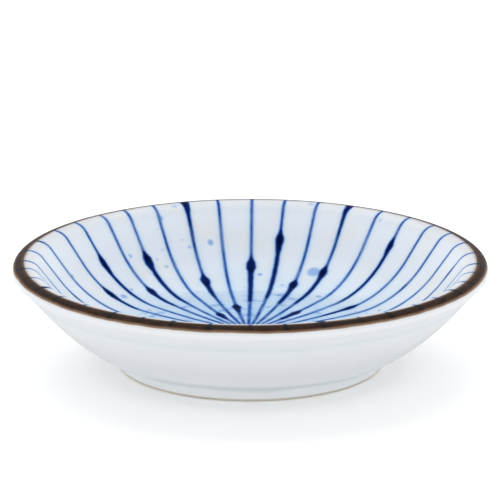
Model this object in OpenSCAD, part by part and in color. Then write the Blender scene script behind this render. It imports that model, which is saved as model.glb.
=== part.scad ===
// Small porcelain dish for soy sauce
// A shallow well on a turned foot ring, clear glaze inside and out, an iron-brown glazed lip
// and forty cobalt brush strokes that run from the middle of the well to the lip.
// The origin is the middle of the foot ring where it stands on the table, +Z is up.

/* [Overall] */
// Diameter over the rounded lip
dish_d = 95; // [90:0.5:102]
// Height from the table to the highest point of the lip
dish_h = 21.35; // [20.2:0.05:23.6]
// Height of the middle of the well's floor above the table
floor_h = 6.25; // [5.6:0.05:7.4]

/* [Lip] */
// Radius of the shoulder that turns the well over into the lip
shoulder_r = 3.7; // [3.2:0.05:4.2]
// Slope at which the shoulder runs into the nose, in degrees
nose_slope = 25.5; // [20:0.5:31]
// Radius of the rounded nose at the dish's widest place
nose_r = 1.4; // [1.1:0.05:1.6]

/* [Well] */
// Slope of the straight wall below the shoulder, in degrees
well_slope = 52.3; // [49:0.1:56]
// Radius of the bend between the wall and the floor
bend_r = 21.4; // [18:0.1:24]
// Slope at which the bend runs into the floor's dishing, in degrees
dishing_slope = 6; // [4.5:0.1:7]
// Radius of the floor's shallow dishing
dishing_r = 150; // [110:1:165]

/* [Outside] */
// Slope of the flared underside of the lip, in degrees
flare_slope = 45.5; // [42:0.5:49]
// Drop from the middle of the nose to the bottom of the flare
flare_h = 3.9; // [3:0.1:4.8]
// Radius of the long sweep of the outer wall
sweep_r = 56; // [44:1:70]
// Radius of the turn just above the foot ring
turn_r = 12.2; // [9:0.1:16]
// Slope of the wall where it meets the foot ring, in degrees
turn_slope = 10; // [6:0.5:16]

/* [Foot ring] */
// Outer diameter of the foot ring at the table, as a part of the dish's diameter
foot_ratio = 0.556; // [0.51:0.002:0.6]
// Height of the foot ring on its outer side
foot_h = 3.15; // [2.4:0.05:3.7]
// Width of the foot ring at the table
foot_w = 3.3; // [2.6:0.1:4.2]
// Lean of the ring's outer side from upright, in degrees
foot_lean = 21; // [14:0.5:26]
// Lean of the ring's inner side from upright, in degrees
recess_lean = 14; // [8:0.5:22]
// Depth of the recess inside the foot ring
recess_h = 2.5; // [1.9:0.05:3]
// Radius of the hollow corner between the wall and the foot ring
foot_fillet_r = 1; // [0.5:0.05:1.5]
// Radius of the hollow corner inside the recess
recess_fillet_r = 1.2; // [0.6:0.05:1.6]
// Radius of the ring's two edges at the table
foot_edge_r = 0.5; // [0.3:0.05:0.7]
// Height of the bare clay that the glaze leaves free above the table
bare_h = 0.55; // [0.5:0.05:0.9]

/* [Glaze] */
// Thickness of the glaze
glaze_t = 0.35; // [0.25:0.01:0.45]
// Turn past the crest of the lip at which the brown glaze starts, in degrees
brown_from = 1.5; // [0.5:0.5:8]
// Turn round the nose, from straight up, at which the brown glaze ends, in degrees
brown_turn = 68; // [50:1:85]

/* [Brushwork] */
// Number of strokes round the well
stroke_count = 40; // [36:1:42]
// Distance of the strokes' inner tips from the middle of the well
tip_r = 3.2; // [3:0.1:5]
// Width of a stroke at its inner tip
tip_w = 0.22; // [0.14:0.01:0.28]
// Width of a stroke at the lip
stroke_w = 0.64; // [0.45:0.01:0.8]
// Length of a long knot, where the brush was pressed down
knot_l = 4.4; // [3.4:0.1:5]
// Length of the longest tail that a knot draws towards the middle
tail_l = 16; // [11:0.5:17]
// Width of the widest knot
knot_w = 2.1; // [1.5:0.05:2.4]
// Length of a pool of colour where a stroke starts at the lip
pool_l = 9; // [7:0.5:11]
// Width of a pool of colour at the lip
pool_w = 2; // [1.4:0.05:2.4]
// Distance that the point where the strokes would meet lies off the middle, towards -X
tip_offset = 0.45; // [0:0.05:1]

/* [Fineness] */
// Largest distance between a drawn arc and its chords
arc_gap = 0.02; // [0.01:0.005:0.03]

/* [Hidden] */
$fn = 180;
// Overrun of the cuts through the glaze
cut_over = 1;

// One row for each stroke, round from the back of the dish towards +X:
// sway of its lip end and lean of its tip as shares of the pitch, place of the knot's head
// along the stroke, then knot length, tail length, knot width and pool as shares of the largest.
stroke_shares = [
    [0.05, -0.15, 0.765, 0.95, 0.80, 1.00, 0.0],
    [0.04, -0.10, 0.870, 0.85, 1.00, 0.92, 0.0],
    [0.06, 0.00, 0.645, 0.90, 0.50, 0.90, 0.0],
    [0.06, -0.10, 0.745, 0.80, 0.75, 0.90, 0.9],
    [0.16, -0.10, 0.335, 0.95, 0.20, 0.75, 0.0],
    [0.21, 0.08, 0.905, 0.85, 1.00, 0.80, 0.0],
    [0.27, 0.00, 0.560, 1.10, 0.30, 0.75, 0.0],
    [0.23, 0.00, 0.775, 0.50, 0.10, 0.42, 0.0],
    [0.28, 0.00, 0.560, 0.50, 0.10, 0.32, 0.3],
    [0.34, -0.05, 0.920, 0.80, 0.80, 0.50, 0.0],
    [0.45, -0.05, 0.620, 0.60, 0.30, 0.35, 0.4],
    [0.32, 0.05, 0.830, 0.80, 0.60, 0.80, 0.0],
    [0.28, 0.00, 0.530, 0.90, 0.50, 0.65, 0.0],
    [0.18, 0.10, 0.740, 0.90, 0.70, 0.95, 0.5],
    [0.10, 0.00, 0.860, 0.70, 0.40, 0.60, 0.0],
    [0.00, 0.05, 0.620, 1.00, 0.80, 0.90, 0.0],
    [0.05, 0.00, 0.400, 0.60, 0.30, 0.50, 0.0],
    [-0.05, 0.10, 0.810, 0.85, 0.70, 1.00, 0.0],
    [0.06, 0.00, 0.680, 0.80, 0.40, 0.55, 0.9],
    [0.06, -0.08, 0.870, 0.90, 0.60, 0.85, 0.0],
    [0.00, -0.05, 0.480, 0.90, 0.60, 0.70, 0.0],
    [0.08, -0.10, 0.780, 0.90, 0.70, 0.95, 0.0],
    [0.12, 0.00, 0.620, 0.60, 0.30, 0.50, 0.6],
    [0.00, 0.10, 0.890, 0.80, 0.60, 0.80, 0.0],
    [-0.08, 0.05, 0.560, 0.90, 0.70, 0.75, 0.0],
    [0.02, 0.00, 0.780, 0.80, 0.50, 0.90, 0.0],
    [0.08, -0.05, 0.370, 0.70, 0.40, 0.45, 0.0],
    [0.10, -0.10, 0.770, 0.90, 0.90, 0.90, 0.8],
    [0.14, 0.00, 0.660, 0.70, 0.40, 0.60, 0.0],
    [0.08, 0.00, 0.850, 0.80, 0.60, 0.70, 0.0],
    [-0.15, -0.05, 0.580, 0.60, 0.30, 0.40, 0.4],
    [-0.10, 0.00, 0.800, 0.60, 0.30, 0.42, 0.0],
    [-0.10, 0.00, 0.510, 0.50, 0.20, 0.32, 0.5],
    [0.09, 0.05, 0.745, 1.10, 0.30, 0.85, 0.0],
    [0.10, -0.05, 0.860, 0.85, 0.60, 0.90, 0.0],
    [0.16, 0.00, 0.665, 0.90, 0.35, 0.85, 0.0],
    [0.03, -0.22, 0.830, 0.90, 0.80, 1.00, 0.0],
    [0.01, -0.08, 0.265, 0.70, 0.08, 0.75, 0.0],
    [0.01, -0.12, 0.680, 0.90, 0.35, 0.95, 1.0],
    [0.02, -0.15, 0.355, 0.70, 0.10, 0.90, 0.0]
];
// Outline of one side of a knot from its head inwards: place as a share of the knot's length,
// and half width as a share of the greatest; and of the tail that follows it
knot_shares = [[0, 0], [0.13, 0.42], [0.28, 0.84], [0.42, 1], [0.58, 0.95], [0.8, 0.72], [1, 0.58]];
tail_shares = [[0.5, 0.48], [0.85, 0.36], [1, 0]];
// The same for a pool, from the lip inwards
pool_shares = [[0, 1], [0.12, 0.94], [0.3, 0.62], [0.6, 0.42], [1, 0]];

// Unit vector at an angle, in the plane of radius and height
function dir(a) = [cos(a), sin(a)];
// Points along an arc, close enough together to keep within arc_gap of it
function arc(mid, r, from, to) =
    let (step = 2 * acos(1 - arc_gap / r), n = max(2, ceil(abs(to - from) / step)))
    [for (i = [0:n]) mid + r * dir(from + (to - from) * i / n)];
// Centre of a circle of radius ra round a that also meets one of radius rb round b,
// on the left of the way from a to b
function meet(a, ra, b, rb) =
    let (d = norm(b - a), u = (b - a) / d, x = (d * d + ra * ra - rb * rb) / (2 * d))
    a + x * u + sqrt(ra * ra - x * x) * [-u[1], u[0]];
function angle_of(v) = atan2(v[1], v[0]);
function reverse(list) = [for (i = [len(list) - 1:-1:0]) list[i]];

// Lip: centres of the nose and of the shoulder
nose_c = [dish_d / 2 - nose_r, dish_h - shoulder_r + (shoulder_r - nose_r) * cos(nose_slope)];
shoulder_c = nose_c - (shoulder_r - nose_r) * dir(90 - nose_slope);
lip_r = shoulder_c[0] + shoulder_r * sin(brown_from);

// Well: the straight wall falls from the shoulder until the bend and the dishing reach the floor
wall_top = shoulder_c + shoulder_r * dir(90 + well_slope);
bend_fall = bend_r * (cos(dishing_slope) - cos(well_slope));
dishing_fall = dishing_r * (1 - cos(dishing_slope));
wall_l = (wall_top[1] - floor_h - bend_fall - dishing_fall) / sin(well_slope);
bend_c = wall_top - wall_l * dir(well_slope) + bend_r * dir(90 + well_slope);
dishing_c = bend_c + (dishing_r - bend_r) * dir(90 + dishing_slope);

// Foot ring: the outer corner under the wall, eased by the hollow fillet
foot_r = foot_ratio * dish_d / 2;
foot_corner = [foot_r + foot_h * tan(foot_lean), foot_h];
fillet_reach = foot_fillet_r * tan((90 - foot_lean - turn_slope) / 2);
turn_end = foot_corner + fillet_reach * dir(turn_slope);
fillet_c = turn_end + foot_fillet_r * dir(turn_slope - 90);
edge_reach = foot_edge_r * tan((90 - foot_lean) / 2);
inner_edge_reach = foot_edge_r * tan((90 - recess_lean) / 2);
recess_r = foot_r - foot_w;
recess_reach = recess_fillet_r * tan((90 - recess_lean) / 2);
recess_c = [recess_r - recess_h * tan(recess_lean) - recess_reach, recess_h - recess_fillet_r];

// Outside: the flare from the nose, then the sweep and the turn, which touch each other
flare_top = nose_c + nose_r * dir(flare_slope - 90);
flare_l = (flare_h - (nose_c[1] - flare_top[1])) / sin(flare_slope);
flare_end = flare_top - flare_l * dir(flare_slope);
turn_c = turn_end + turn_r * dir(turn_slope + 90);
sweep_c = meet(turn_c, sweep_r - turn_r, flare_end, sweep_r);
sweep_start = angle_of(flare_end - sweep_c);
sweep_end = angle_of(turn_c - sweep_c);

// Runs of the outline, each set in by depth from the finished surface
function well_run(depth) = concat(
    [[0, floor_h - depth]],
    arc(dishing_c, dishing_r + depth, -90, dishing_slope - 90),
    arc(bend_c, bend_r + depth, dishing_slope - 90, well_slope - 90),
    arc(shoulder_c, shoulder_r - depth, 90 + well_slope, 90 - brown_from)
);
function lip_run(depth) = concat(
    arc(shoulder_c, shoulder_r - depth, 90 - brown_from, 90 - nose_slope),
    arc(nose_c, nose_r - depth, 90 - nose_slope, 90 - brown_turn)
);
function outer_run(depth) = concat(
    arc(nose_c, nose_r - depth, 90 - brown_turn, flare_slope - 90),
    arc(sweep_c, sweep_r - depth, sweep_start, sweep_end),
    arc(turn_c, turn_r - depth, sweep_end, turn_slope - 90),
    arc(fillet_c, foot_fillet_r + depth, turn_slope + 90, 180 - foot_lean),
    [foot_side(depth)]
);
function foot_side(depth) = [foot_r + bare_h * tan(foot_lean), bare_h] - depth * dir(-foot_lean);
function recess_side(depth) = [recess_r - bare_h * tan(recess_lean), bare_h] + depth * dir(recess_lean);
function bare_run() = concat(
    [foot_side(0)],
    arc([foot_r - edge_reach, foot_edge_r], foot_edge_r, -foot_lean, -90),
    arc([recess_r + inner_edge_reach, foot_edge_r], foot_edge_r, -90, recess_lean - 180),
    [recess_side(0)]
);
function base_run(depth) = concat(
    [recess_side(depth)],
    arc(recess_c, recess_fillet_r + depth, recess_lean, 90),
    [[0, recess_h + depth]]
);

// A skin of glaze between the finished surface and the clay
module skin(finished, clay) {
    rotate_extrude() polygon(concat(finished, reverse(clay)));
}

// Half width of a plain stroke at a distance from the middle of the dish
function line_half(x) = (tip_w + (stroke_w - tip_w) * (x - tip_r) / (lip_r - tip_r)) / 2;

// One side of a stretch of a stroke, given as shares of its length inwards from a start
// and of a greatest half width, but never narrower than the plain stroke
function swell(shares, start, reach, width) = [
    for (p = shares)
        let (x = start - p[0] * reach)
        [x, max(line_half(x), p[1] * width / 2)]
];

// One stroke in plan, lying along +X from its inner tip to past the lip:
// a tapered line that swells at its knot and, where it has one, at its pool
module stroke(place, length, tail, width, pool) {
    head = tip_r + place * (lip_r - tip_r);
    knot = swell(knot_shares, head, length * knot_l, width * knot_w);
    end = swell(tail_shares, head - length * knot_l, tail * tail_l, width * knot_w);
    puddle = swell(pool > 0 ? pool_shares : [], lip_r, min(pool_l, lip_r - head), pool * pool_w);
    side = concat(
        [[tip_r, tip_w / 2]],
        reverse(end),
        reverse(knot),
        reverse(puddle),
        [[lip_r + cut_over, len(puddle) > 0 ? puddle[0][1] : line_half(lip_r)]]
    );
    polygon(concat(side, [for (p = reverse(side)) [p[0], -p[1]]]));
}

// All the strokes as upright prisms that reach through the glaze of the well
module stroke_prisms() {
    pitch = 360 / stroke_count;
    linear_extrude(dish_h + cut_over)
        for (i = [0:stroke_count - 1]) {
            s = stroke_shares[i % len(stroke_shares)];
            azimuth = 90 - (i + s[0]) * pitch;
            lip_end = lip_r * dir(azimuth);
            tip_end = tip_r * dir(azimuth + s[1] * pitch) - [tip_offset, 0];
            translate(lip_end)
                rotate(angle_of(lip_end - tip_end))
                    translate([-lip_r, 0])
                        stroke(s[2], s[3], s[4], s[5], s[6]);
        }
}

module porcelain_body() {
    color([0.86, 0.85, 0.82])
        rotate_extrude()
            polygon(concat(
                well_run(glaze_t), lip_run(glaze_t), outer_run(glaze_t), bare_run(), base_run(glaze_t)
            ));
}

module inner_glaze() {
    color([0.87, 0.90, 0.94])
        difference() {
            well_skin();
            stroke_prisms();
        }
}

module painted_strokes() {
    color([0.10, 0.20, 0.55])
        intersection() {
            well_skin();
            stroke_prisms();
        }
}

// The seam of the skin lies between two strokes
module well_skin() {
    rotate(90 / stroke_count) skin(well_run(0), well_run(glaze_t));
}

module rim_glaze() {
    color([0.25, 0.16, 0.11]) skin(lip_run(0), lip_run(glaze_t));
}

module outer_glaze() {
    color([0.90, 0.91, 0.93]) skin(outer_run(0), outer_run(glaze_t));
}

module base_glaze() {
    color([0.88, 0.90, 0.91]) skin(base_run(0), base_run(glaze_t));
}

porcelain_body();
inner_glaze();
painted_strokes();
rim_glaze();
outer_glaze();
base_glaze();
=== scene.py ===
"""Looks of a small soy sauce dish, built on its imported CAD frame.
Metres, +Z up, the dish stands on Z = 0 round the Z axis and the viewer is on the -Y side."""

import math

import bpy
import numpy as np
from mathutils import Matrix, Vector
from mathutils.bvhtree import BVHTree


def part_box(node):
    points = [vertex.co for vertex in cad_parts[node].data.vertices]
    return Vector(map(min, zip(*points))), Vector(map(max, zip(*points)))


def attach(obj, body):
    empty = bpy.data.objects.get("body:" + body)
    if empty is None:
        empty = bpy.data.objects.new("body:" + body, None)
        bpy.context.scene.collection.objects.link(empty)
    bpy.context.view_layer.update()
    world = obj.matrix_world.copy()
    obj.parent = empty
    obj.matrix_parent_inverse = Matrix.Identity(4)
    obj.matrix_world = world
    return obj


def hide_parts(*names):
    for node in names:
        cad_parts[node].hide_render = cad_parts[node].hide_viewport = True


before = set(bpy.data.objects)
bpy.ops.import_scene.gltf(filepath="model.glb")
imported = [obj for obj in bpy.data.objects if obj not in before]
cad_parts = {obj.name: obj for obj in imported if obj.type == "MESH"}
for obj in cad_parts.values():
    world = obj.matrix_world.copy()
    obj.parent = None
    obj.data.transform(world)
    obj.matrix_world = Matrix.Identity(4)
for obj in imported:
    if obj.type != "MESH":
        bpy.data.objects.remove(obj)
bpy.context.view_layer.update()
MM = 0.001

# Sampling of the new surfaces, with distances in mm
STEP_WELL = 0.36        # between rings in the well
STEP_LIP = 0.25         # between rings on the lip
STEP_WALL = 0.42        # between rings on the outside and in the recess
STEP_BODY = 1.4 * STEP_WALL     # between rings of the clay
STEP_UNDER = 4          # under the well's glaze every 4th ring is enough
PER_STROKE = 12         # columns from one stroke to the next in the well
LIP_COLUMNS, WALL_COLUMNS, BASE_COLUMNS = 960, 480, 360

# Reading the CAD sections, with distances in mm
SAME_CORNER = 0.025     # points of a section that are this near are one corner
TOUCHING = 0.05         # corners of two sections that are this near are one place
ON_AXIS = 0.01          # a ring this small is a point on the axis
CORNER = math.radians(40)       # a section turns by more than this only at a true corner
STRAIGHT = math.radians(0.3)    # a smaller turn than this is none
LONG_CHORD = 1.8        # a chord this much longer than the next one is straight
HOLLOW_UP = 2.4         # from the outer glaze's lower edge up to the hollow corner over the foot

# Reading the CAD strokes, in mm
SLICE = 0.15            # a stroke's widest place is looked for in slices this long
ALONG = 0.1             # between the half widths kept along a stroke
SOFTEN = 0.4            # over which the paint rounds off the corners of a CAD stroke
SOLID_HALF = [0, 0.32, 0.55, 0.95]  # half widths of the CAD strokes
PAINT_HALF = [0, 0.32, 0.47, 0.95]  # and of the paint that the eye takes for them
TICK = 0.65             # half the width of the dark spot on the lip where a stroke ends

# The photograph's camera: it looks down at the middle of the lip's plane from the front
DISTANCE, TILT = 0.900, math.radians(16.12)
FOCAL, WIDTH = 4504.5, 500      # both in the photograph's pixels
SHIFT_X, SHIFT_Y = -0.0006, 0.0192      # of the picture, as shares of its width
AIM = Vector((0, 0, 0.02128))
TO_CAMERA = Vector((0, -math.cos(TILT), math.sin(TILT)))
CAMERA_PLACE = AIM + DISTANCE * TO_CAMERA

# Pale drops of thin cobalt that fell beside the strokes: the pixel across and down at which
# the camera shows each, then its radius in mm and its strength
DROPS = [
    (210.5, 242.5, 0.55, 0.9), (189.5, 247, 0.40, 0.6), (182.5, 240, 0.32, 0.4),
    (161, 218, 0.50, 0.6), (130.5, 256, 0.45, 0.6), (157.5, 259.5, 0.40, 0.4),
    (166.5, 266.5, 0.45, 0.6), (162.5, 250, 0.35, 0.4), (131.5, 289.5, 0.45, 0.6),
    (124, 296.5, 0.80, 0.8), (72.5, 276, 0.50, 0.6), (260, 274.5, 0.50, 0.9),
    (313.5, 272, 1.20, 1.0), (318.5, 296.5, 0.60, 0.8), (278.5, 295, 0.70, 0.7),
    (282.5, 285, 0.50, 0.6), (380.5, 220, 0.45, 0.4), (379, 310.5, 0.55, 0.5),
    (174.5, 206, 0.70, 0.5), (311, 204, 0.60, 0.6),
]
# The same kind of drops where the photograph doesn't show the well
FRONT_DROPS = 16
SEED = 11


# ---------- reading the CAD frame ----------

def welded(node):
    """A CAD node's vertices in mm with doubles merged, and its edges."""
    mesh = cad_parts[node].data
    co = np.empty(len(mesh.vertices) * 3)
    mesh.vertices.foreach_get("co", co)
    points, back = np.unique(np.round(co.reshape(-1, 3) / MM, 3), axis=0, return_inverse=True)
    edges = np.empty(len(mesh.edges) * 2, int)
    mesh.edges.foreach_get("vertices", edges)
    edges = back.reshape(-1)[edges.reshape(-1, 2)]
    return points, edges[edges[:, 0] != edges[:, 1]]


def unit(v):
    return v / np.linalg.norm(v)


def turn_of(a, b, c):
    """The angle by which the way from a to b turns at b towards c."""
    u, v = unit(np.subtract(b, a)), unit(np.subtract(c, b))
    return math.acos(max(-1, min(1, float(u @ v))))


def section(node):
    """The section of a turned CAD node: its corners as (radius, height) in mm, in order round it.
    One that reaches the axis starts there, at its higher end, and ends there."""
    points, edges = welded(node)
    rz = np.column_stack([np.hypot(points[:, 0], points[:, 1]), points[:, 2]])
    keys, back, count = np.unique(np.round(rz, 2), axis=0, return_inverse=True, return_counts=True)
    found, home = [], np.full(len(keys), -1)
    for k in np.argsort(-count):
        same = [c for c, p in enumerate(found) if abs(p - keys[k]).max() < SAME_CORNER]
        home[k] = same[0] if same else len(found)
        if not same:
            found.append(keys[k])
    ring = home[back.reshape(-1)]
    places = np.array([rz[ring == c].mean(0) for c in range(len(found))])

    # the edges that join most of two rings' points are the section's own
    pairs = np.sort(ring[edges], axis=1)
    pairs, times = np.unique(pairs[pairs[:, 0] != pairs[:, 1]], axis=0, return_counts=True)
    near = {c: [] for c in range(len(found))}
    for k in np.argsort(-times):
        a, b = pairs[k]
        if len(near[a]) < 2 and len(near[b]) < 2:
            near[a].append(b)
            near[b].append(a)
    ends = sorted((c for c in near if len(near[c]) == 1), key=lambda c: -places[c][1])
    walk = [ends[0] if ends else max(near, key=lambda c: places[c][0])]
    while True:
        ahead = [c for c in near[walk[-1]] if c not in walk]
        if not ahead:
            break
        walk.append(ahead[0])

    run = [places[c] for c in walk]
    if ends:
        run = [np.array([0, run[0][1]])] + run + [np.array([0, run[-1][1]])]
    else:
        run.append(run[0])
    kept = [run[0]]
    for here, ahead in zip(run[1:], run[2:]):
        if turn_of(kept[-1], here, ahead) > STRAIGHT:
            kept.append(here)
    return [tuple(p) for p in kept] + ([tuple(run[-1])] if ends else [])


def strokes():
    """The CAD strokes in plan: for each its middle line and its half width along it, in mm."""
    points, edges = welded("painted_strokes")
    label = np.arange(len(points))
    while True:
        low = np.minimum(label[edges[:, 0]], label[edges[:, 1]])
        new = label.copy()
        np.minimum.at(new, edges[:, 0], low)
        np.minimum.at(new, edges[:, 1], low)
        new = new[new]
        if (new == label).all():
            break
        label = new

    reach = round(3 * SOFTEN / ALONG)
    bell = np.exp(-0.5 * (np.arange(-reach, reach + 1) * ALONG / SOFTEN) ** 2)
    bell /= bell.sum()
    rows = []
    for which in np.unique(label):
        xy = points[label == which, :2]
        if len(xy) < 20:
            continue
        mid = xy.mean(0)
        along = np.linalg.svd(xy - mid)[2][0]
        along = along if along @ mid > 0 else -along
        across = np.array([-along[1], along[0]])
        widest = {}
        for u, v in zip((xy - mid) @ along, abs((xy - mid) @ across)):
            key = round(u / SLICE)
            if v > widest.get(key, (0, -1))[1]:
                widest[key] = (u, v)
        widest = np.array([widest[key] for key in sorted(widest)])
        u = np.arange(widest[0, 0], widest[-1, 0], ALONG)
        half = np.convolve(np.pad(np.interp(u, *widest.T), reach, "edge"), bell, "valid")
        tip = mid + along * widest[-1, 0]
        rows.append({"mid": mid, "along": along, "across": across, "u": u,
                     "half": np.interp(half, SOLID_HALF, PAINT_HALF), "azimuth": math.atan2(tip[1], tip[0])})
    return sorted(rows, key=lambda row: row["azimuth"])


# ---------- smooth turned surfaces ----------

def smooth(run, gap):
    """A finer run through the same corners, with round arcs between them and true corners kept.
    gap is about the distance between its points in mm."""
    p = [np.array(q, float) for q in run]
    chord = [p[i + 1] - p[i] for i in range(len(p) - 1)]
    length = [np.linalg.norm(c) for c in chord]
    before, after = [None] * len(p), [None] * len(p)
    for i in range(1, len(p) - 1):
        a, b = unit(chord[i - 1]), unit(chord[i])
        if turn_of(p[i - 1], p[i], p[i + 1]) > CORNER:
            continue
        if length[i - 1] > LONG_CHORD * length[i]:
            t = a
        elif length[i] > LONG_CHORD * length[i - 1]:
            t = b
        else:
            t = unit(a * length[i] + b * length[i - 1])
        before[i] = after[i] = t
    out = [p[0]]
    for i, c in enumerate(chord):
        u = unit(c)
        t0, t1 = after[i], before[i + 1]
        if t0 is None:
            t0 = u if t1 is None else 2 * (t1 @ u) * u - t1
        if t1 is None:
            t1 = 2 * (t0 @ u) * u - t0
        n = max(1, math.ceil(length[i] / gap))
        for k in range(1, n + 1):
            s = k / n
            h = (2 * s**3 - 3 * s**2 + 1, s**3 - 2 * s**2 + s, -2 * s**3 + 3 * s**2, s**3 - s**2)
            out.append(h[0] * p[i] + h[1] * t0 * length[i] + h[2] * p[i + 1] + h[3] * t1 * length[i])
    out[0][0] = max(out[0][0], 0)
    return out


def closed_run(run, gap):
    """smooth() round a closed section, from one of its true corners back to it."""
    n = len(run)
    first = next((i for i in range(n) if turn_of(run[i - 1], run[i], run[(i + 1) % n]) > CORNER), 0)
    around = [run[(first + k) % n] for k in range(n + 1)]
    return [tuple(p) for p in smooth(around, gap)][:-1]


def link(name, data):
    item = bpy.data.objects.new(name, data)
    bpy.context.scene.collection.objects.link(item)
    return item


def turned(name, rings, azimuths, closed):
    """A surface through rings of (radius, height) in mm, with one row of column azimuths for each.
    A ring on the axis is one point. The rings at true corners get sharp edges."""
    columns, n = len(azimuths[0]), len(rings)
    verts, index, ring_of = [], np.zeros((n, columns), int), []
    for i, ((r, z), az) in enumerate(zip(rings, azimuths)):
        start = len(ring_of)
        if r < ON_AXIS:
            index[i] = start
            verts.append([[0, 0, z]])
            ring_of.append(i)
        else:
            index[i] = np.arange(start, start + columns)
            verts.append(np.column_stack([r * np.cos(az), r * np.sin(az), np.full(columns, z)]))
            ring_of += [i] * columns
    faces = []
    for i in range(n if closed else n - 1):
        a, b = index[i], index[(i + 1) % n]
        strip = np.column_stack([a, b, np.roll(b, -1), np.roll(a, -1)])
        if a[0] == a[1]:
            strip = strip[:, :3]
        elif b[0] == b[1]:
            strip = strip[:, [0, 1, 3]]
        faces += strip.tolist()
    mesh = bpy.data.meshes.new(name)
    mesh.from_pydata((np.vstack(verts) * MM).tolist(), [], faces)
    mesh.update()
    mesh.polygons.foreach_set("use_smooth", [True] * len(mesh.polygons))
    corner = np.array([(closed or 0 < i < n - 1)
                       and turn_of(rings[i - 1], rings[i], rings[(i + 1) % n]) > CORNER for i in range(n)])
    if corner.any():
        ends = np.empty(len(mesh.edges) * 2, int)
        mesh.edges.foreach_get("vertices", ends)
        at = np.array(ring_of)[ends.reshape(-1, 2)]
        marks = mesh.attributes.new("sharp_edge", "BOOLEAN", "EDGE")
        marks.data.foreach_set("value", (at[:, 0] == at[:, 1]) & corner[at[:, 0]])
    return link(name, mesh)


def even(columns):
    """The azimuths of evenly spaced columns."""
    return np.arange(columns) * 2 * math.pi / columns


def places_of(piece):
    """The piece's vertices in metres."""
    co = np.empty(len(piece.data.vertices) * 3)
    piece.data.vertices.foreach_get("co", co)
    return co.reshape(-1, 3)


def outward(piece):
    """Turns the faces of a closed piece outwards."""
    mesh, co = piece.data, places_of(piece)
    mesh.calc_loop_triangles()
    tri = np.empty(len(mesh.loop_triangles) * 3, int)
    mesh.loop_triangles.foreach_get("vertices", tri)
    a, b, c = (co[tri.reshape(-1, 3)[:, k]] for k in range(3))
    if np.einsum("ij,ij->", a, np.cross(b, c)) < 0:
        mesh.flip_normals()


# ---------- materials ----------

def colour(r, g, b):
    """A colour from 0 to 255 as a picture shows it, made linear."""
    shown = [c / 255 for c in (r, g, b)]
    return tuple(c / 12.92 if c <= 0.04045 else ((c + 0.055) / 1.055) ** 2.4 for c in shown) + (1,)


class Nodes:
    """A node tree with short names for the nodes it uses."""

    def __init__(self, tree):
        self.tree = tree
        tree.nodes.clear()

    def add(self, kind, inputs=(), **settings):
        node = self.tree.nodes.new(kind)
        for key, value in settings.items():
            setattr(node, key, value)
        for key, value in dict(inputs).items():
            if isinstance(value, bpy.types.NodeSocket):
                self.tree.links.new(value, node.inputs[key])
            else:
                node.inputs[key].default_value = value
        return node

    def math(self, operation, a, b=0.0, c=0.0):
        return self.add("ShaderNodeMath", {0: a, 1: b, 2: c}, operation=operation).outputs[0]

    def end(self, output, others, shown):
        """Ends the tree with two shaders: shown is for the rays that should see the white
        background, which are the camera's and those of gloss and glass, and others is for the rest."""
        rays = self.add("ShaderNodeLightPath").outputs
        most = self.math("MAXIMUM", rays["Is Camera Ray"], rays["Is Glossy Ray"])
        most = self.math("MAXIMUM", most, rays["Is Transmission Ray"])
        pick = self.add("ShaderNodeMixShader", {0: most, 1: others.outputs[0], 2: shown.outputs[0]})
        self.add(output, {"Surface": pick.outputs[0]})


class Looks(Nodes):
    """One material of the dish."""

    def __init__(self, name):
        self.material = bpy.data.materials.new(name)
        self.material.use_nodes = True
        super().__init__(self.material.node_tree)
        self.where = self.add("ShaderNodeTexCoord").outputs["Object"]
        self.parts = self.add("ShaderNodeSeparateXYZ", {0: self.where}).outputs

    def times(self, first, *others):
        for other in others:
            first = self.math("MULTIPLY", first, other)
        return first

    def waver(self, value, noise, amount):
        """The value, moved by the noise by up to half of amount either way."""
        return self.math("MULTIPLY_ADD", self.math("SUBTRACT", noise, 0.5), amount, value)

    def step(self, value, low, high, to_low=0.0, to_high=1.0):
        """Goes smoothly from to_low at low to to_high at high."""
        return self.add("ShaderNodeMapRange", {0: value, 1: low, 2: high, 3: to_low, 4: to_high},
                        interpolation_type="SMOOTHSTEP").outputs[0]

    def mix(self, factor, a, b):
        return self.add("ShaderNodeMix", {0: factor, 6: a, 7: b}, data_type="RGBA").outputs[2]

    def attribute(self, name, output="Fac"):
        return self.add("ShaderNodeAttribute", attribute_name=name).outputs[output]

    def noise(self, scale, detail=2, roughness=0.5, vector=None):
        """Noise from 0 to 1. scale is in waves per metre of the object, or per unit of vector."""
        return self.add("ShaderNodeTexNoise", {"Vector": vector or self.where, "Scale": scale,
                                               "Detail": detail, "Roughness": roughness}).outputs[0]

    def around(self, per_turn, per_metre_out, per_metre_up=0.0):
        """Coordinates that follow the wheel: per_turn features round the dish and others outwards."""
        flat = self.along(self.where, "MULTIPLY", (1, 1, 0))
        out = self.add("ShaderNodeVectorMath", {0: flat}, operation="LENGTH").outputs["Value"]
        ring = self.along(flat, "NORMALIZE")
        ring = self.along(ring, "MULTIPLY", (per_turn / 6.283,) * 3)
        up = self.math("MULTIPLY_ADD", self.parts[2], per_metre_up, self.times(out, per_metre_out))
        return self.along(ring, "ADD", self.add("ShaderNodeCombineXYZ", {2: up}).outputs[0])

    def along(self, vector, operation, other=(0, 0, 0)):
        return self.add("ShaderNodeVectorMath", {0: vector, 1: other}, operation=operation).outputs[0]

    def bump(self, height, strength, distance):
        return self.add("ShaderNodeBump", {"Strength": strength, "Distance": distance,
                                           "Height": height}).outputs[0]

    def finish(self, base, roughness, normal, gloss):
        surface = self.add("ShaderNodeBsdfPrincipled", {
            "Base Color": base, "Roughness": roughness, "Normal": normal, "IOR": 1.5,
            "Specular IOR Level": gloss})
        self.add("ShaderNodeOutputMaterial", {"Surface": surface.outputs[0]})
        return self.material


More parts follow.
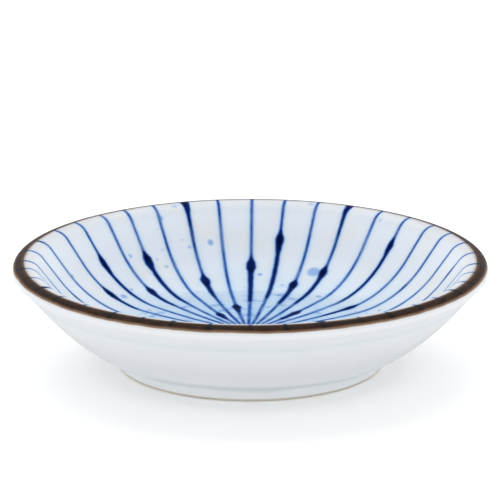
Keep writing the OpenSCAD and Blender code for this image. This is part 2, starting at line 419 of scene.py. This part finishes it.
WHITE_IN = colour(223, 229, 236)
CREAM_IN = colour(226, 227, 226)
# painted shade: a greyer blue that darkens the glaze low in the well
SHADED_DEEP_IN = colour(187, 204, 217)
# painted shade: a grey that darkens the glaze just under the lip
SHADE_NEAR_LIP = colour(203, 205, 208)
BLUE_WASH = colour(164, 198, 230)
DASH = colour(120, 158, 212)
DROP = colour(112, 160, 216)
COBALT = colour(36, 92, 172)
NAVY = colour(9, 31, 92)
INK = colour(2, 8, 42)
WHITE_OUT = colour(227, 229, 231)
# whiter still: painted light low on the outer wall, and paler patches in the recess
PALE_AND_PAINTED_LIGHT_OUT = colour(245, 247, 249)
# blue-green of glaze pooled in hollows and rings; in the bend of the outer wall it is also painted shade
POOLED_GLAZE_AND_SHADE = colour(205, 219, 222)
BROWN = colour(29, 17, 12)
RUST = colour(84, 57, 41)
SOOT = colour(16, 19, 18)
OCHRE = colour(156, 132, 112)
THINNED = colour(122, 90, 72)
CLAY = colour(212, 204, 195)
PALE_CLAY = colour(222, 212, 196)
TOASTED = colour(190, 166, 142)
GRIT = colour(120, 100, 84)


def inner_looks():
    """Clear glaze over white with cobalt strokes, their soft halo and pale drops."""
    m = Looks("glaze_with_cobalt")
    side, half, pool, lip = (m.attribute(name) for name in ("side", "half", "pool", "lip"))
    feather = m.noise(2600, 2, 0.6)
    grain = m.noise(1, 3, 0.6, m.attribute("along", "Vector"))

    # the cobalt, by the distance in mm outwards from a stroke's edge: dark where the brush was full
    edge = m.math("SUBTRACT", side, m.math("MULTIPLY_ADD", pool, 0.25, half))
    rough_edge = m.waver(edge, feather, 0.16)
    rough_edge = m.waver(rough_edge, m.noise(620), m.step(half, 0.2, 0.8, 0.12, 0.45))
    ink = m.step(rough_edge, -0.23, 0.32, 1.0, 0.0)
    load = m.waver(m.math("MULTIPLY_ADD", pool, 0.16, half), grain, 0.18)
    dark = m.step(load, 0.20, 0.42)
    core = m.step(rough_edge, -0.40, 0.08, 1.0, 0.0)
    paint = m.mix(m.times(dark, core), COBALT, NAVY)
    heart = m.times(m.step(load, 0.35, 0.8), m.step(rough_edge, -0.80, -0.25, 1.0, 0.0),
                    m.step(m.noise(330), 0.38, 0.6, 0.3, 1.0))
    paint = m.mix(heart, paint, INK)

    # the white round it: bluer and darker low in the well and greyer near the lip, both darkenings painted
    # shade, with short dashes on the floor
    ground = m.mix(m.step(m.noise(95, 3, 0.55), 0.42, 0.72), WHITE_IN, CREAM_IN)
    # painted shade low in the well, with a bluer tint
    ground = m.mix(m.step(pool, 0.1, 0.6, 0.0, 0.8), ground, SHADED_DEEP_IN)
    # painted shade under the lip, within about 4 mm of the rim
    ground = m.mix(m.step(lip, 0.3, 4.0, 1.0, 0.0), ground, SHADE_NEAR_LIP)
    wheel = m.noise(1, 2, 0.55, m.around(22, 540))
    patch = m.noise(150)
    middle = m.step(pool, 0.972, 0.990)
    halo = m.times(m.step(edge, 0.0, 1.4, 0.9, 0.0), m.step(edge, 0.0, 0.6, 1.0, 0.5),
                   m.math("MULTIPLY_ADD", pool, 0.6, 0.58))
    wash = m.math("MULTIPLY_ADD", pool, m.step(patch, 0.3, 0.7, 0.32, 0.52),
                  m.step(pool, 0.6, 1.0, 0.0, 0.3))
    wash = m.math("MULTIPLY_ADD", middle, 0.35, m.math("ADD", halo, wash))
    ground = m.mix(m.math("MINIMUM", wash, 0.9), ground, BLUE_WASH)
    dash = m.times(m.step(wheel, 0.54, 0.66), m.step(patch, 0.42, 0.54), m.step(pool, 0.25, 0.6),
                   m.math("SUBTRACT", 1.0, middle), 0.75)
    ground = m.mix(dash, ground, DASH)
    drop = m.waver(m.attribute("drop"), feather, 0.5)
    ground = m.mix(m.step(drop, -0.05, 0.75, 0.0, 0.8), ground, DROP)

    thin = m.math("MAXIMUM", m.step(grain, 0.25, 0.62, 0.72, 1.0), dark)
    base = m.mix(m.times(ink, thin), ground, paint)
    stained = m.step(m.waver(lip, m.noise(420, 3), 0.5), 0.05, 0.7, 0.5, 0.0)
    base = m.mix(stained, base, RUST)
    height = m.math("MULTIPLY_ADD", wheel, 0.4, m.noise(60))
    return m.finish(base, m.step(m.noise(240), 0.3, 0.7, 0.10, 0.17), m.bump(height, 0.12, 0.0004),
                    gloss=m.step(ink, 0.0, 1.0, 0.18, 0.005))


def rim_looks(low, high):
    """Iron-brown glaze on the lip: mottled, sooty where the strokes end, ochre where it runs out."""
    def level(share):
        return low + share * (high - low)

    m = Looks("iron_brown_glaze")
    mottle = m.noise(1, 2, 0.5, m.around(200, 650, -650))
    broad = m.noise(1, 2, 0.5, m.around(60, 220, -220))
    base = m.mix(m.step(mottle, 0.35, 0.75, 0.0, 0.4), BROWN, RUST)
    base = m.mix(m.step(broad, 0.30, 0.45, 0.6, 0.0), base, SOOT)
    # thick and dark on the crest, reddish at the edge inside, thinner and lighter down the nose
    up = m.waver(m.parts[2], broad, 0.25 * (high - low))
    base = m.mix(m.step(up, level(0.2), level(0.85), 0.9, 0.0), base, RUST)
    inner = m.waver(m.attribute("inner"), broad, 0.5)
    base = m.mix(m.step(inner, 0.0, 0.75, 0.55, 0.0), base, THINNED)
    tick = m.waver(m.attribute("tick"), mottle, 0.5)
    tick = m.times(m.step(tick, 0.1, 0.9, 0.0, 0.95), m.step(up, level(0.2), level(0.8)))
    base = m.mix(tick, base, SOOT)
    # ochre and pale where it runs out
    base = m.mix(m.step(up, level(0.14), level(0.64), 0.95, 0.0), base, OCHRE)
    base = m.mix(m.step(up, level(0.06), level(0.26), 1.0, 0.0), base, WHITE_OUT)
    return m.finish(base, m.step(mottle, 0.3, 0.7, 0.35, 0.5), m.bump(mottle, 0.15, 0.0002), gloss=0.03)


def outer_looks(top, kink, foot):
    """White glaze outside: whiter low down as painted light, blue-green where it pools, and a line
    of pooled glaze and painted shade at the bend. top is the height in metres of the lip's glaze,
    kink that of the bend in the wall and foot that of the hollow over the foot."""
    m = Looks("white_glaze")
    wheel = m.noise(1, 3, 0.6, m.around(7, 0, 900))
    cloud = m.noise(70, 3)
    up = m.waver(m.parts[2], cloud, 0.0016)
    # painted light: the wall grows whiter towards the foot, where the floor throws light up
    base = m.mix(m.step(up, foot, 0.5 * (foot + kink)), PALE_AND_PAINTED_LIGHT_OUT, WHITE_OUT)
    hollow = m.times(m.step(up, foot - 0.0012, foot),
                     m.step(up, foot + 0.0002, foot + 0.0018, 1.0, 0.0), 0.55)
    base = m.mix(hollow, base, POOLED_GLAZE_AND_SHADE)
    # the line at the bend of the wall: glaze pooled there, and painted shade in the crease
    line = m.times(m.step(up, kink - 0.0012, kink - 0.0001),
                   m.step(up, kink, kink + 0.0010, 1.0, 0.0), 0.30)
    base = m.mix(line, base, POOLED_GLAZE_AND_SHADE)
    edge = m.waver(m.parts[2], m.noise(1, 3, 0.6, m.around(120, 0, 500)), 0.0004)
    base = m.mix(m.step(edge, top - 0.0005, top + 0.0001, 0.0, 0.12), base, OCHRE)
    height = m.math("MULTIPLY_ADD", wheel, 0.5, cloud)
    # the glaze keeps its gloss face on, and doesn't glare where the wall turns away
    turned_away = m.add("ShaderNodeLayerWeight", {"Blend": 0.5}).outputs["Facing"]
    return m.finish(base, m.step(m.noise(240), 0.3, 0.7, 0.13, 0.2), m.bump(height, 0.10, 0.0004),
                    gloss=m.step(turned_away, 0.55, 0.88, 0.12, 0.0))


def base_looks():
    """The same white glaze in the recess under the dish."""
    m = Looks("white_glaze_recess")
    wheel = m.noise(1, 3, 0.6, m.around(5, 900))
    cloud = m.noise(85, 3)
    base = m.mix(m.step(cloud, 0.35, 0.7), WHITE_OUT, PALE_AND_PAINTED_LIGHT_OUT)
    base = m.mix(m.step(wheel, 0.55, 0.8, 0.0, 0.35), base, POOLED_GLAZE_AND_SHADE)
    return m.finish(base, m.step(cloud, 0.3, 0.7, 0.13, 0.22), m.bump(wheel, 0.2, 0.0004), gloss=0.22)


def clay_looks():
    """Bare porcelain: matt, toasted where it stands on the table, with fine grit."""
    m = Looks("bare_porcelain")
    grit = m.noise(3000, 3, 0.7)
    cloud = m.noise(160, 3, 0.6)
    base = m.mix(m.step(cloud, 0.3, 0.7), CLAY, PALE_CLAY)
    toast = m.waver(m.parts[2], cloud, 0.0005)
    base = m.mix(m.step(toast, 0.0003, 0.0007, 0.0, 0.5), base, TOASTED)
    base = m.mix(m.step(grit, 0.64, 0.72, 0.0, 0.35), base, GRIT)
    return m.finish(base, m.step(cloud, 0.3, 0.7, 0.6, 0.75), m.bump(grit, 0.35, 0.0001), gloss=0.3)


# ---------- the dish ----------

def dress(piece, material, slot, *nodes):
    piece.data.materials.append(material)
    outward(piece)
    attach(piece, "root")
    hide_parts(*nodes)


def set_values(piece, name, values):
    """Gives each vertex its number or its vector, for the materials to read."""
    kind, key = ("FLOAT_VECTOR", "vector") if values.ndim == 2 else ("FLOAT", "value")
    data = piece.data.attributes.new(name, kind, "POINT").data
    data.foreach_set(key, values.astype(np.float32).ravel())


def well_rings():
    """The well's rings as (radius, height) in mm, from its middle over the glaze to the lip and back
    under the glaze. The clay is the body's run up to the lip's glaze, and the glaze lies on it."""
    lip, body = section("rim_glaze"), section("porcelain_body")
    meeting = [p for p in lip if min(math.dist(p, q) for q in body) < TOUCHING]
    start = min(meeting, key=lambda p: p[0])
    glazed_start = min((p for p in lip if p not in meeting), key=lambda p: math.dist(p, start))
    thickness = math.dist(start, glazed_start)
    last = min(range(len(body)), key=lambda i: math.dist(body[i], start))
    clay = smooth(body[:last + 1], STEP_WELL)
    glazed = []
    for i, q in enumerate(clay):
        t = unit(clay[min(i + 1, len(clay) - 1)] - clay[max(i - 1, 0)])
        glazed.append(q + thickness * np.array([-t[1], t[0]]))
    glazed[0][0], glazed[-1] = 0, np.array(glazed_start)
    under = clay[::-STEP_UNDER]
    if under[-1][0] > 0:
        under.append(clay[0])
    return [tuple(p) for p in glazed + under]


def columns_on_strokes(rings, rows):
    """For each ring its columns' azimuths: one column follows each stroke's middle line, with
    others between them."""
    innermost = 1.02 * max(np.linalg.norm(s["mid"] + s["along"] * s["u"][0]) for s in rows)
    places = np.arange(len(rows) * PER_STROKE) / PER_STROKE
    azimuths = []
    for r, _ in rings:
        r = max(r, innermost)
        at = []
        for s in rows:
            b = s["mid"] @ s["along"]
            u = -b + math.sqrt(b * b - s["mid"] @ s["mid"] + r * r)
            x, y = s["mid"] + s["along"] * u
            a = math.atan2(y, x)
            while at and a < at[-1]:
                a += 2 * math.pi
            at.append(a)
        at.append(at[0] + 2 * math.pi)
        azimuths.append(np.interp(places, np.arange(len(at)), at))
    return azimuths


def set_strokes(piece, co, rows, seeded):
    """side is the distance in mm from the nearest stroke's middle line, half is the stroke's half
    width there, and along runs with the brush."""
    side, half, along = np.full(len(co), 1e3), np.zeros(len(co)), np.zeros((len(co), 3))
    for n, s in enumerate(rows):
        from_mid = co[:, :2] - s["mid"]
        u, v = from_mid @ s["along"], from_mid @ s["across"]
        nearer = (abs(v) < side) & (u > s["u"][0] - 6)
        # past its inner end a stroke runs out to nothing
        past = np.clip(s["u"][0] - u, 0, None)
        width = np.interp(u, s["u"], s["half"]) - past * seeded.uniform(0.1, 0.5)
        side[nearer], half[nearer] = abs(v)[nearer], width[nearer]
        along[nearer] = np.column_stack([v * 1.1, u * 0.22, np.full(len(u), 7.3 * n)])[nearer]
    set_values(piece, "side", np.minimum(side, 20))
    set_values(piece, "half", half)
    set_values(piece, "along", along)


def shown_at(tree, across, down):
    """The place in mm on the tree's surface that the camera shows at a pixel."""
    right = across - WIDTH * (0.5 - SHIFT_X)
    up = WIDTH * (0.5 + SHIFT_Y) - down
    ray = Vector((right, up * math.sin(TILT), up * math.cos(TILT))) - FOCAL * TO_CAMERA
    return tree.ray_cast(CAMERA_PLACE, ray)[0] / MM


def set_drops(piece, co, rim, seeded):
    """drop is a drop's strength well inside it, and goes to 0 and below outside it."""
    mesh = piece.data
    tree = BVHTree.FromPolygons([v.co for v in mesh.vertices], [f.vertices[:] for f in mesh.polygons])
    drops = []
    for across, down, size, strength in DROPS:
        x, y, _ = shown_at(tree, across, down)
        drops.append((math.hypot(x, y), math.atan2(y, x), size, strength))
    for _ in range(FRONT_DROPS):
        r, from_back = seeded.uniform(0.6, 0.93) * rim, seeded.uniform(95, 265)
        drops.append((r, math.radians(90 - from_back), seeded.uniform(0.3, 0.8), seeded.uniform(0.4, 0.9)))
    drop = np.full(len(co), -1.0)
    for r, a, size, strength in drops:
        dx, dy = co[:, 0] - r * math.cos(a), co[:, 1] - r * math.sin(a)
        away = np.hypot(dx * math.sin(a) - dy * math.cos(a), 1.3 * (dx * math.cos(a) + dy * math.sin(a)))
        drop = np.maximum(drop, strength * np.clip(1.5 - away / size, -1, 1))
    set_values(piece, "drop", drop)


def build_well(rows):
    rings = well_rings()
    piece = turned("dish_inside", rings, columns_on_strokes(rings, rows), closed=False)
    co = places_of(piece) / MM
    radius, rim = np.hypot(co[:, 0], co[:, 1]), max(r for r, _ in rings)
    seeded = np.random.default_rng(SEED)
    set_strokes(piece, co, rows, seeded)
    # pool is 1 in the middle of the floor and 0 high on the wall, and lip is in mm from the rim
    set_values(piece, "pool", np.interp(radius, [0, 0.28 * rim, 0.55 * rim, 0.9 * rim], [1, 0.95, 0.45, 0]))
    set_values(piece, "lip", rim - radius)
    set_drops(piece, co, rim, seeded)
    dress(piece, inner_looks(), "inner_glaze", "inner_glaze", "painted_strokes")


def build_rim(rows):
    """Builds the lip's glaze and returns the height in mm at which it begins outside."""
    rings = closed_run(section("rim_glaze"), STEP_LIP)
    piece = turned("dish_lip", rings, [even(LIP_COLUMNS)] * len(rings), closed=True)
    co = places_of(piece) / MM
    azimuth, radius = np.arctan2(co[:, 1], co[:, 0]), np.hypot(co[:, 0], co[:, 1])
    ends = np.array([s["azimuth"] for s in rows])
    strength = 0.85 + 0.3 * np.sin(2.3 * np.arange(len(ends)))
    gap = (azimuth[:, None] - ends[None, :] + math.pi) % (2 * math.pi) - math.pi
    # tick is 1 at a stroke's end, and inner is in mm from the inner edge
    set_values(piece, "tick", (strength * np.exp(-(gap * radius[:, None] / TICK) ** 2)).max(1))
    set_values(piece, "inner", radius - min(r for r, _ in rings))
    low, high = min(z for _, z in rings), max(z for _, z in rings)
    dress(piece, rim_looks(low * MM, high * MM), "brown_glaze", "rim_glaze")
    return low


def build_outside(top):
    run = section("outer_glaze")
    rings = closed_run(run, STEP_WALL)
    piece = turned("dish_outside", rings, [even(WALL_COLUMNS)] * len(rings), closed=True)
    # the wall bends at the lower end of its longest chord
    outline = [p for p in run if p[1] < top]
    kink = min(p[1] for p in max(zip(outline, outline[1:]), key=lambda chord: math.dist(*chord)))
    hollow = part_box("outer_glaze")[0].z / MM + HOLLOW_UP
    dress(piece, outer_looks(top * MM, kink * MM, hollow * MM), "outer_glaze", "outer_glaze")


def build_base(name, node, gap, material, slot):
    """A piece under the dish, whose section reaches the axis."""
    rings = [tuple(p) for p in smooth(section(node), gap)]
    piece = turned(name, rings, [even(BASE_COLUMNS)] * len(rings), closed=False)
    dress(piece, material, slot, node)


stroke_rows = strokes()
if len(stroke_rows) < 3:
    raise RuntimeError("the painted strokes were not found")
build_well(stroke_rows)
lip_edge = build_rim(stroke_rows)
build_outside(lip_edge)
build_base("dish_recess", "base_glaze", STEP_WALL, base_looks(), "outer_glaze")
build_base("dish_body", "porcelain_body", STEP_BODY, clay_looks(), "bare_porcelain")


# ---------- floor, light and camera ----------

def point_at(item, place, aim):
    item.location = place
    item.rotation_euler = (Vector(aim) - Vector(place)).to_track_quat("-Z", "Y").to_euler()


def build_floor():
    mesh = bpy.data.meshes.new("floor")
    mesh.from_pydata([(-4, -4, 0), (4, -4, 0), (4, 4, 0), (-4, 4, 0)], [], [(0, 1, 2, 3)])
    floor = link("floor", mesh)
    material = bpy.data.materials.new("white_floor")
    material.use_nodes = True
    n = Nodes(material.node_tree)
    plain = n.add("ShaderNodeBsdfDiffuse", {"Color": (0.93, 0.93, 0.93, 1)})
    shown = n.add("ShaderNodeBsdfDiffuse", {"Color": (0.91, 0.90, 0.89, 1)})
    glow = n.add("ShaderNodeEmission", {"Strength": 0.18})
    shown = n.add("ShaderNodeAddShader", {0: shown.outputs[0], 1: glow.outputs[0]})
    n.end("ShaderNodeOutputMaterial", plain, shown)
    mesh.materials.append(material)


def build_light():
    world = bpy.data.worlds.new("studio")
    bpy.context.scene.world = world
    world.use_nodes = True
    n = Nodes(world.node_tree)
    # the studio is brightest low round the table, as between soft boxes
    way = n.add("ShaderNodeTexCoord").outputs["Generated"]
    up = n.add("ShaderNodeSeparateXYZ", {0: way}).outputs[2]
    fall = n.add("ShaderNodeMapRange", {0: up, 3: 1.66, 4: 0.52}).outputs[0]
    fill = n.add("ShaderNodeBackground", {"Color": (0.97, 0.985, 1.0, 1), "Strength": fall})
    white = n.add("ShaderNodeBackground", {"Color": (1, 1, 1, 1), "Strength": 1.0})
    n.end("ShaderNodeOutputWorld", fill, white)
    light = bpy.data.lights.new("overhead", "AREA")
    light.shape, light.size, light.energy = "DISK", 1.4, 7.5
    point_at(link("overhead", light), (-0.08, 0.58, 1.22), (0, 0, 0))


def build_camera():
    data = bpy.data.cameras.new("photo_camera")
    data.sensor_width = 36
    data.lens = data.sensor_width * FOCAL / WIDTH
    data.shift_x, data.shift_y = SHIFT_X, SHIFT_Y
    data.clip_start, data.clip_end = 0.01, 20
    item = link("photo_camera", data)
    point_at(item, CAMERA_PLACE, AIM)
    bpy.context.scene.camera = item


build_floor()
build_light()
build_camera()
bpy.context.scene.view_settings.view_transform = "Standard"
